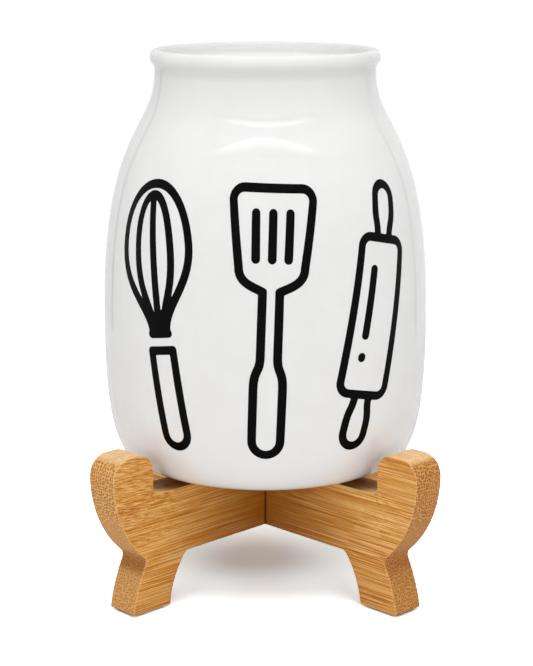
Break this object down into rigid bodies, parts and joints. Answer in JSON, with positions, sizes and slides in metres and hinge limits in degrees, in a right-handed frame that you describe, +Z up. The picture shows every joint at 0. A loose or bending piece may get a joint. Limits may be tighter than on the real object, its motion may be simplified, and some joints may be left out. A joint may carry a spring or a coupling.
{
  "type": "spoon holder",
  "caption": "Round glazed jar with a rolled rim for kitchen utensils, standing on a crossed bamboo stand whose raised ends keep it from sliding.",
  "frame": {"origin": "on the floor, under the centre of the crossed stand", "axes": "+Z up along the jar's axis; the jar's decorated front faces -Y and +X is to its viewer's right; the boards cross on the diagonals of X and Y"},
  "size_m": [0.1118, 0.1118, 0.1789],
  "materials": {
    "white_glaze": "glossy white glaze, bare clay on the foot ring",
    "bamboo": "golden laminated bamboo, sanded and oiled",
    "dark_pad": "matt, slightly fibrous",
    "black_line": "black line fired on the glaze"
  },
  "bodies": {
    "lower_half": {"lower_board": "bamboo", "pad_front_left": "dark_pad", "pad_rear_right": "dark_pad"},
    "upper_half": {"upper_board": "bamboo", "pad_front_right": "dark_pad", "pad_rear_left": "dark_pad"},
    "jar": {"ceramic_jar": "white_glaze"}
  },
  "joints": [
    {"name": "board_lift", "type": "slide", "parent": "lower_half", "child": "upper_half", "axis": [0, 0, 1], "range_m": [0, 0.03]},
    {"name": "jar_lift", "type": "slide", "parent": "upper_half", "child": "jar", "axis": [0, 0, 1], "range_m": [0, 0.06]}
  ]
}
